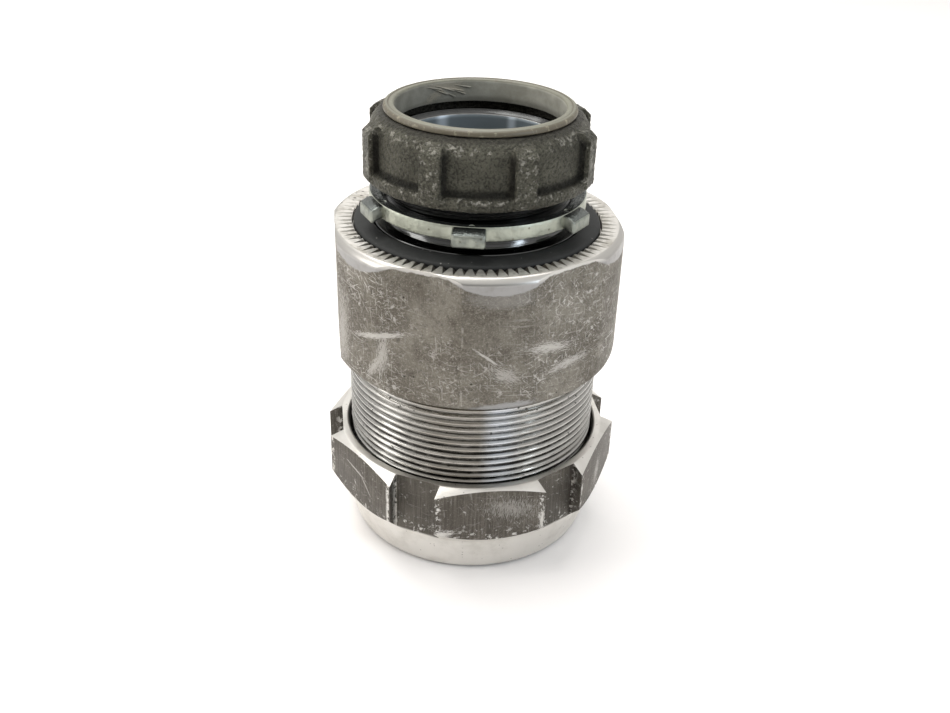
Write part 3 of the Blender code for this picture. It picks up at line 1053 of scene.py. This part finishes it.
class FITTING_OT_body(Step, bpy.types.Operator):
    """Models the hexagonal body with its two threads and its toothed face."""

    bl_idname = "fitting.body"
    bl_label = "Fitting Body"

    def build(self, sizes, tints):
        body = self.blank(sizes)
        long_thread = threaded_rod(
            "long_thread",
            THREAD_CREST,
            sizes.thread_depth,
            sizes.thread_pitch,
            BODY_END,
            HEX_BOTTOM - 0.0016,
            start=0.55,
        )
        combine(body, long_thread, "UNION")
        hub = threaded_rod(
            "hub_thread",
            HUB_CREST,
            sizes.hub_depth,
            sizes.hub_pitch,
            COLLAR_TOP + 0.0030,
            HUB_END,
            land=0.22,
        )
        combine(body, hub, "UNION")
        combine(body, self.bore(), "DIFFERENCE")
        combine(body, self.tooth_cutter(sizes), "DIFFERENCE")
        outward(body)
        place(body, "body", "fitting_body", turned_finish(tints), 32.0)
        body.data.materials.append(skin_finish(tints))
        body.data.materials.append(thread_finish(tints))
        for face in body.data.polygons:
            out, up = face.center.xy.length, face.center.z
            on_side = HEX_BOTTOM + 0.0002 < up < FACE - 0.00004 and abs(face.normal.z) < 0.97
            if out > 0.0345 and on_side:
                face.material_index = 1
            elif out > 0.0322 and up < HEX_BOTTOM - 0.0001:
                face.material_index = 2

    @staticmethod
    def blank(sizes):
        """The turned bar with its six flats, before the threads, the bore and the teeth."""
        turned = 0.0386
        groove = FACE - 0.0022
        outline = [
            (0.0310, BODY_END + 0.0060),
            (0.0325, BODY_END + 0.0062),
            (0.0328, HEX_BOTTOM - 0.0004, 0.0004),
            (turned - 0.0020, HEX_BOTTOM, 0.0006),
            (turned, HEX_BOTTOM + 0.0020, 0.0016),
            (turned, FACE - 0.0013, 0.0007),
            (turned - 0.0013, FACE, 0.0007),
            (TOOTH_OUTER, FACE, 0.0002),
            (TOOTH_OUTER, groove, 0.0002),
            (0.0271, groove, 0.0002),
            (0.0271, COLLAR_TOP, 0.0004),
            (0.0240, COLLAR_TOP, 0.0005),
            (0.0236, COLLAR_TOP + 0.0006, 0.0003),
            (0.0228, 0.0940),
            (0.0226, HUB_END - 0.0010),
        ]
        body = cut_flats(bar("fitting_body_worn", outline), 0.0738, BODY_CORNER)

        def on_hexagon(at):
            return at.xy.length > 0.0362 and HEX_BOTTOM < at.z < FACE + 0.001

        return soften(body, sizes.edge, where=on_hexagon)

    @staticmethod
    def bore():
        """The passage: wide from below, with a shoulder and a narrow throat in the hub."""
        shoulder, throat = 0.0680, 0.0208
        outline = [
            (0.0330, BODY_END - 0.0010),
            (0.0316, BODY_END),
            (BORE, BODY_END + 0.0100, 0.0008),
            (BORE, shoulder, 0.0002),
            (throat, shoulder, 0.0004),
            (throat, HUB_END - 0.0014, 0.0006),
            (0.0226, HUB_END + 0.0004),
            (0.0230, HUB_END + 0.0020),
        ]
        return bar("bore", outline)

    @staticmethod
    def tooth_cutter(sizes):
        """Radial V-grooves, deepest at the seal groove and running out to nothing."""
        chance = random.Random(4)
        cutters = []
        for index in range(sizes.teeth):
            depth = sizes.tooth_depth * chance.uniform(0.84, 1.0)
            reach = 0.0046 * chance.uniform(0.86, 1.08)
            angle = 360 / sizes.teeth * index + chance.uniform(-0.08, 0.08)
            pick()
            bpy.ops.mesh.primitive_cone_add(
                vertices=4,
                radius1=depth,
                radius2=0.0,
                depth=reach,
                location=(0, -(TOOTH_OUTER - 0.0002 + reach / 2), FACE + 0.00006),
                rotation=(pi / 2, 0, 0),
            )
            cutters.append(swing(named("tooth_cutter"), angle))
        return join("tooth_cutters", cutters)


class FITTING_OT_gland_nut(Step, bpy.types.Operator):
    """Models the slotted gland nut."""

    bl_idname = "fitting.gland_nut"
    bl_label = "Gland Nut"

    def build(self, sizes, tints):
        outer, bore, throat, shoulder, relief = 0.0415, 0.03485, 0.0245, 0.0051, 0.0105
        outline = [
            (0.0374, NUT_TOP, 0.0003),
            (outer, 0.0280, 0.0002),
            (outer, 0.0172, 0.0002),
            (0.0371, 0.0126, 0.0008),
            (0.0338, 0.0014, 0.0010),
            (0.0325, 0.0, 0.0006),
            (0.0255, 0.0, 0.0004),
            (throat, 0.0010, 0.0004),
            (throat, shoulder, 0.0003),
            (0.0328, shoulder),
            (0.0328, relief),
            (bore, relief),
            (bore, NUT_TOP - 0.0008, 0.0003),
            (0.0356, NUT_TOP, 0.0002),
        ]
        nut = lathe("gland_nut_worn", outline)
        combine(nut, self.hexagon(), "INTERSECT")
        bars = block("slot_bars", (0.0128, 0.012, 0.040), (0, -0.0429, 0.024), NUT_CORNER)
        combine(nut, copies_around(bars, 6), "DIFFERENCE")
        outward(nut)

        def on_hexagon(at):
            return at.xy.length > 0.0366 and 0.0128 < at.z < NUT_TOP - 0.0003

        soften(nut, sizes.edge, limit=24.0, where=on_hexagon)
        place(nut, "gland_nut", "gland_nut", nut_finish(tints), 26.0)

    @staticmethod
    def hexagon():
        """A six-sided bar, 76.6 mm across flats."""
        pick()
        bpy.ops.mesh.primitive_cylinder_add(
            vertices=6,
            radius=0.0766 / 2 / cos(radians(30)),
            depth=0.060,
            location=(0, 0, 0.015),
            rotation=(0, 0, radians(NUT_CORNER)),
        )
        return named("nut_hexagon")


class FITTING_OT_face_seal(Step, bpy.types.Operator):
    """Models the rubber ring in the groove of the face."""

    bl_idname = "fitting.face_seal"
    bl_label = "Face Seal Ring"

    def build(self, sizes, tints):
        inner, outer = 0.0275, 0.0322
        outline = [
            (inner, 0.0915, 0.0006),
            (outer, 0.0905, 0.0008),
            (outer, SEAL_LOW, 0.0004),
            (inner, SEAL_LOW, 0.0004),
        ]
        ring = lathe("face_seal_moulded", outline, steps=4)
        place(ring, "body", "face_seal_ring", rubber_finish(tints), 60.0)


class FITTING_OT_locknut(Step, bpy.types.Operator):
    """Models the stamped locknut with its bent lugs and punch marks."""

    bl_idname = "fitting.locknut"
    bl_label = "Locknut"

    def build(self, sizes, tints):
        base, top = 0.0950, LOCKNUT_HIGH.z
        outline = [
            (0.0280, top, 0.0007),
            (0.0280, base, 0.0004),
            (0.0252, base, 0.0002),
            (0.0247, base + 0.0005),
            (0.0247, top - 0.0008),
            (0.0255, top - 0.0003, 0.0002),
            (0.0262, top - 0.0006, 0.0004),
            (0.0270, top, 0.0003),
        ]
        nut = lathe("locknut_stamped", outline)
        combine(nut, self.lugs((base + top) / 2), "UNION")
        combine(nut, self.punch(sizes.dimple, top), "DIFFERENCE")
        outward(nut)
        place(nut, "locknut", "locknut", zinc_finish(tints), 34.0)

    @staticmethod
    def lugs(middle):
        """A tongue drawn out from the ring's edge and bent down, then repeated."""
        lug = block("lugs", (0.0082, 0.0012, 0.0030), (0, -0.0268, middle + 0.0001))
        edit_faces(lug, Vector((0, -1, 0)))
        for out, drop, tall in (
            (0.0008, 0.0, 1.12),
            (0.0010, 0.0003, 1.02),
            (0.0012, 0.0006, 1.0),
            (0.0006, 0.0001, 0.93),
        ):
            pulled((0, -out), -drop)
            bpy.ops.transform.resize(value=(1, 1, tall))
        bpy.ops.transform.resize(value=(0.92, 1, 1))
        done()
        soften(lug, 0.00065, limit=40.0, segments=3)
        return copies_around(swing(lug, LUG_ANGLE), LUGS)

    @staticmethod
    def punch(radius, top):
        """Round punch marks, one near the root of each lug."""
        pick()
        at = around(LUG_ANGLE + 1.0, 0.0266, top + radius * 0.30)
        bpy.ops.mesh.primitive_uv_sphere_add(
            segments=20, ring_count=12, radius=radius, location=at
        )
        return copies_around(named("punch"), LUGS)


class FITTING_OT_bushing(Step, bpy.types.Operator):
    """Models the cast bushing with its eight grip ribs."""

    bl_idname = "fitting.bushing"
    bl_label = "Bushing Shell"

    def build(self, sizes, tints):
        low, top = SHELL_LOW, SHELL_TOP
        throat, thread, lip = 0.0230, 0.0247, 0.1143
        outline = [
            (throat, top, 0.0003),
            (0.0248, top, 0.0008),
            (0.0277, top - 0.0030, 0.0018),
            (0.0276, low + 0.0038, 0.0004),
            (0.0294, low + 0.0031, 0.0006),
            (0.0293, low, 0.0009),
            (0.0255, low, 0.0004),
            (thread, low + 0.0008),
            (thread, lip, 0.0002),
            (throat, lip, 0.0002),
        ]
        shell = lathe("bushing_cast", outline)
        combine(shell, self.ribs(low, top), "UNION")
        shaped(shell, "REMESH", mode="VOXEL", voxel_size=0.00036)
        shaped(shell, "SMOOTH", factor=0.5, iterations=1)
        sand = bpy.data.textures.new("sand_grain", "CLOUDS")
        sand.noise_scale = 0.0009
        sand.noise_depth = 2
        shaped(
            shell,
            "DISPLACE",
            texture=sand,
            texture_coords="LOCAL",
            strength=sizes.grain * 2.4,
            mid_level=0.62,
        )
        place(shell, "bushing_shell", "bushing_shell", iron_finish(tints), 180.0)

    @staticmethod
    def ribs(low, top):
        """One rib with a sloped upper end, then seven copies."""
        size = (0.0056, 0.0037, top - low - 0.0045)
        rib = block("ribs", size, (0, -0.02805, (low + top) / 2 - 0.0012))
        edit_faces(rib, Vector((0, 0, 1)))
        pulled((0, 0.0014), 0.0018)
        bpy.ops.transform.resize(value=(0.94, 0.75, 1))
        return copies_around(swing(rib, RIB_ANGLE), RIBS)


class FITTING_OT_liner(Step, bpy.types.Operator):
    """Models the plastic throat liner with its worn flange."""

    bl_idname = "fitting.liner"
    bl_label = "Throat Liner"

    def build(self, sizes, tints):
        low, top = LINER_LOW, LINER_TOP
        inner, outer = 0.0213, 0.0226
        outline = [
            (0.0217, top, 0.0004),
            (outer, top - 0.0001, 0.0002),
            (0.0229, top - 0.00025, 0.0001),
            (0.0231, top, 0.0001),
            (0.0234, top, 0.0002),
            (0.0240, top - 0.0004, 0.0002),
            (0.0242, top - 0.0008, 0.0002),
            (0.0242, top - 0.0015, 0.0004),
            (outer, top - 0.0015, 0.0002),
            (outer, low, 0.0003),
            (inner, low, 0.0003),
            (inner, top - 0.0006, 0.0003),
        ]
        liner = lathe("liner_moulded", outline)
        torn = (
            (-142, 1.5, 6.0, 76),
            (-146, 2.3, 7.5, 68),
            (-150, 1.7, 8.0, 73),
            (-153, 3.0, 6.5, 64),
            (-156, 2.1, 8.5, 78),
            (-161, 2.8, 6.0, 70),
            (-165, 1.6, 5.5, 81),
        )
        liner = join("liner_moulded", [liner, *(self.sliver(*row) for row in torn)])
        place(liner, "bushing_liner", "bushing_liner", liner_finish(tints), 50.0)

    @staticmethod
    def sliver(angle, down, long, slant):
        """A torn sliver that a knife left standing on the throat's wall."""
        pick()
        bpy.ops.mesh.primitive_cone_add(
            vertices=5,
            radius1=0.00026,
            radius2=0.00005,
            depth=long * MM,
            location=(0, -0.0211, LINER_TOP - down * MM),
            rotation=(radians(6), radians(slant), 0),
        )
        return swing(named("sliver"), angle)


class FITTING_OT_inside(Step, bpy.types.Operator):
    """Models the washer, seal and rings inside the gland."""

    bl_idname = "fitting.inside"
    bl_label = "Pieces Inside"

    def build(self, sizes, tints):
        low, high = solid_height("slip_washer")
        washer = lathe("slip_washer_stamped", self.ring(0.0240, 0.0322, low, high, 0.0003))
        stainless = steel_finish("stainless_stamped", (0.62, 0.61, 0.58), 0.24)
        place(washer, "gland_pack", "slip_washer", stainless)

        low, high = solid_height("gland_seal")
        inner, outer = 0.0232, 0.0315
        outline = [
            (0.0280, high, 0.0006),
            (outer, low + 0.0052, 0.0012),
            (outer, low, 0.0005),
            (inner, low, 0.0005),
            (inner, high - 0.0012, 0.0006),
            (0.0244, high, 0.0006),
        ]
        seal = lathe("gland_seal_moulded", outline, steps=4)
        neoprene = rubber_finish(tints, "neoprene_moulded")
        place(seal, "gland_pack", "gland_seal", neoprene, 60.0)

        low, high = solid_height("clamp_ring")
        inner = 0.0236
        outline = [
            (SPRING_SEAT, high - 0.0010, 0.0002),
            (SPRING_SEAT, low, 0.0003),
            (inner, low, 0.0003),
            (inner, low + 0.0022, 0.0003),
            (SPRING_SEAT - 0.0014, high, 0.0003),
            (SPRING_SEAT - 0.0010, high, 0.0002),
        ]
        clamp = lathe("clamp_ring_turned", outline)
        plate = steel_finish("clamp_ring_plate", (0.52, 0.52, 0.49), 0.30)
        place(clamp, "body", "clamp_ring", plate)

        low, high = solid_height("armour_stop")
        stop = lathe("armour_stop_moulded", self.ring(0.0212, SPRING_SEAT, low, high, 0.0004))
        nylon = steel_finish("stop_ring_nylon", (0.62, 0.60, 0.53), 0.42, 0.0, 2500.0)
        place(stop, "body", "armour_stop", nylon)

        self.snap_ring()
        self.garter_spring()

    @staticmethod
    def ring(inner, outer, low, high, edge):
        return [(outer, high, edge), (outer, low, edge), (inner, low, edge), (inner, high, edge)]

    @staticmethod
    def snap_ring():
        """An open ring: a small rectangle spun most of the way round."""
        low, high = solid_height("snap_ring")
        opening = 26.0
        pick()
        bpy.ops.mesh.primitive_plane_add(size=1, location=(0, 0, 0))
        bpy.context.object.scale = (SPRING_SEAT - SNAP_INNER, high - low, 1)
        ring = named("snap_ring_wound")
        edit(ring)
        bpy.ops.mesh.bevel(offset=0.0003, segments=2, affect="VERTICES")
        swing(ring, 90, "X")
        edit(ring)
        middle = (SPRING_SEAT + SNAP_INNER) / 2
        bpy.ops.transform.translate(value=(middle, 0, (low + high) / 2))
        bpy.ops.mesh.spin(
            steps=96, angle=radians(360 - opening), center=(0, 0, 0), axis=(0, 0, 1)
        )
        outward(ring)
        steel = steel_finish("snap_ring_steel", (0.45, 0.45, 0.44), 0.30)
        place(ring, "body", "snap_ring", steel)

    @staticmethod
    def garter_spring():
        """A wire ring wound up a straight helix, then bent round into a hoop."""
        low, high = solid_height("garter_spring")
        wire, hoop_radius, turns = 0.00034, 0.0254, 92
        coil = (high - low) / 2 - wire
        pitch = 2 * pi * hoop_radius / turns
        pick()
        bpy.ops.mesh.primitive_circle_add(
            vertices=6, radius=wire, location=(0, 0, 0), rotation=(pi / 2, 0, 0)
        )
        spring = named("garter_spring_wound")
        edit(spring)
        bpy.ops.transform.translate(value=(coil, 0, -pitch * turns / 2))
        wound(spring, pitch, turns, 12)
        swing(spring, 90, "Y")
        shaped(
            spring, "SIMPLE_DEFORM", deform_method="BEND", deform_axis="Z", angle=2 * pi
        )
        corners = [vertex.co for vertex in spring.data.vertices]
        middle = sum(corners, Vector()) / len(corners)
        edit(spring)
        bpy.ops.transform.translate(value=(-middle.x, -middle.y, (low + high) / 2 - middle.z))
        bpy.ops.mesh.fill_holes(sides=6)
        bpy.ops.mesh.select_all(action="SELECT")
        bpy.ops.mesh.normals_make_consistent(inside=False)
        done()
        steel = steel_finish("spring_steel_wire", (0.50, 0.50, 0.50), 0.26)
        place(spring, "body", "garter_spring", steel, 80.0)


class FITTING_OT_stage(Step, bpy.types.Operator):
    """Lays the pale table and sets the soft light and the camera."""

    bl_idname = "fitting.stage"
    bl_label = "Table, Light and Camera"

    def build(self, sizes, tints):
        pick()
        bpy.ops.mesh.primitive_plane_add(size=6.0, location=(0, 1.5, 0))
        table = named("table_top")
        material = new_material("pale_table")
        tone = noise(add(material.node_tree, "TexCoord", out="Object"), 3.0)
        base = blend(tone, tints.table, dim(tints.table, 0.975))
        table.data.materials.append(surface(material, base, 0.7, 0.0))
        self.lamp("overhead", (-0.15, 0.25, 0.95), 0.05, (0.9, 0.7), 9.0, (1.0, 0.985, 0.96))
        self.lamp("window", (0.75, -0.55, 0.42), 0.06, (0.16, 0.5), 2.6, (0.80, 0.90, 1.0))
        self.lamp("side_left", (-0.85, -0.15, 0.45), 0.06, (0.4, 0.5), 3.0, (1.0, 0.98, 0.95))
        self.room()
        self.camera()
        bpy.context.scene.view_settings.view_transform = "Standard"

    @staticmethod
    def lamp(name, spot, target, size, power, tint):
        """A rectangular light that looks at a height on the axis."""
        pick()
        bpy.ops.object.light_add(type="AREA", location=spot)
        lamp = bpy.context.object
        lamp.name = lamp.data.name = name
        lamp.data.shape = "RECTANGLE"
        lamp.data.size, lamp.data.size_y = size
        lamp.data.energy = power
        lamp.data.color = tint
        toward = Vector((0, 0, target)) - Vector(spot)
        lamp.rotation_euler = toward.to_track_quat("-Z", "Y").to_euler()

    @staticmethod
    def room():
        """Light from all round: bright overhead and behind, dim in front."""
        world = bpy.data.worlds.new("room")
        bpy.context.scene.world = world
        world.use_nodes = True
        tree = world.node_tree
        toward = {0: add(tree, "TexCoord", out="Generated")}
        _, back, up = add(tree, "SeparateXYZ", toward, out=None)
        tone = mixed(span(back, 0.15, -0.75), 0.95, 0.22)
        tone = mixed(span(up, -0.05, 0.75), tone, 0.95)
        background = tree.nodes["Background"]
        feed(tree, background.inputs["Color"], blend(tone, (0, 0, 0), (1.0, 0.985, 0.965)))
        background.inputs["Strength"].default_value = 0.85

    @staticmethod
    def camera():
        pick()
        bpy.ops.object.camera_add(location=(0, -0.2561, 0.1933))
        camera = bpy.context.object
        camera.name = "viewpoint"
        down, aside, roll = 29.532, 0.136, 1.83  # degrees
        aim = Matrix.Rotation(-radians(aside), 4, "Z") @ Matrix.Rotation(radians(90 - down), 4, "X")
        camera.rotation_euler = (aim @ Matrix.Rotation(radians(roll), 4, "Z")).to_euler()
        camera.data.sensor_width = 36.0
        camera.data.lens = 39.65
        camera.data.clip_start = 0.01
        camera.data.clip_end = 20.0
        bpy.context.scene.camera = camera


class FITTING_PT_panel(bpy.types.Panel):
    """Sizes, colours and the steps in order."""

    bl_idname = "FITTING_PT_panel"
    bl_label = "Compression Fitting"
    bl_space_type = "VIEW_3D"
    bl_region_type = "UI"
    bl_category = "Fitting"

    def draw(self, context):
        layout = self.layout
        for step in STEPS:
            layout.operator(step.bl_idname)
        for settings in (context.scene.fitting_sizes, context.scene.fitting_colours):
            column = layout.column(align=True)
            for key in type(settings).__annotations__:
                column.prop(settings, key)


STEPS = (
    FITTING_OT_finishes,
    FITTING_OT_body,
    FITTING_OT_gland_nut,
    FITTING_OT_face_seal,
    FITTING_OT_locknut,
    FITTING_OT_bushing,
    FITTING_OT_liner,
    FITTING_OT_inside,
    FITTING_OT_stage,
)
CLASSES = (FittingSizes, FittingColours, *STEPS, FITTING_PT_panel)


def register():
    for item in CLASSES:
        bpy.utils.register_class(item)
    bpy.types.Scene.fitting_sizes = PointerProperty(type=FittingSizes)
    bpy.types.Scene.fitting_colours = PointerProperty(type=FittingColours)


def unregister():
    del bpy.types.Scene.fitting_colours
    del bpy.types.Scene.fitting_sizes
    for item in reversed(CLASSES):
        bpy.utils.unregister_class(item)


def main():
    register()
    for step in STEPS:
        section, name = step.bl_idname.split(".")
        getattr(getattr(bpy.ops, section), name)()


if __name__ == "__main__":
    main()
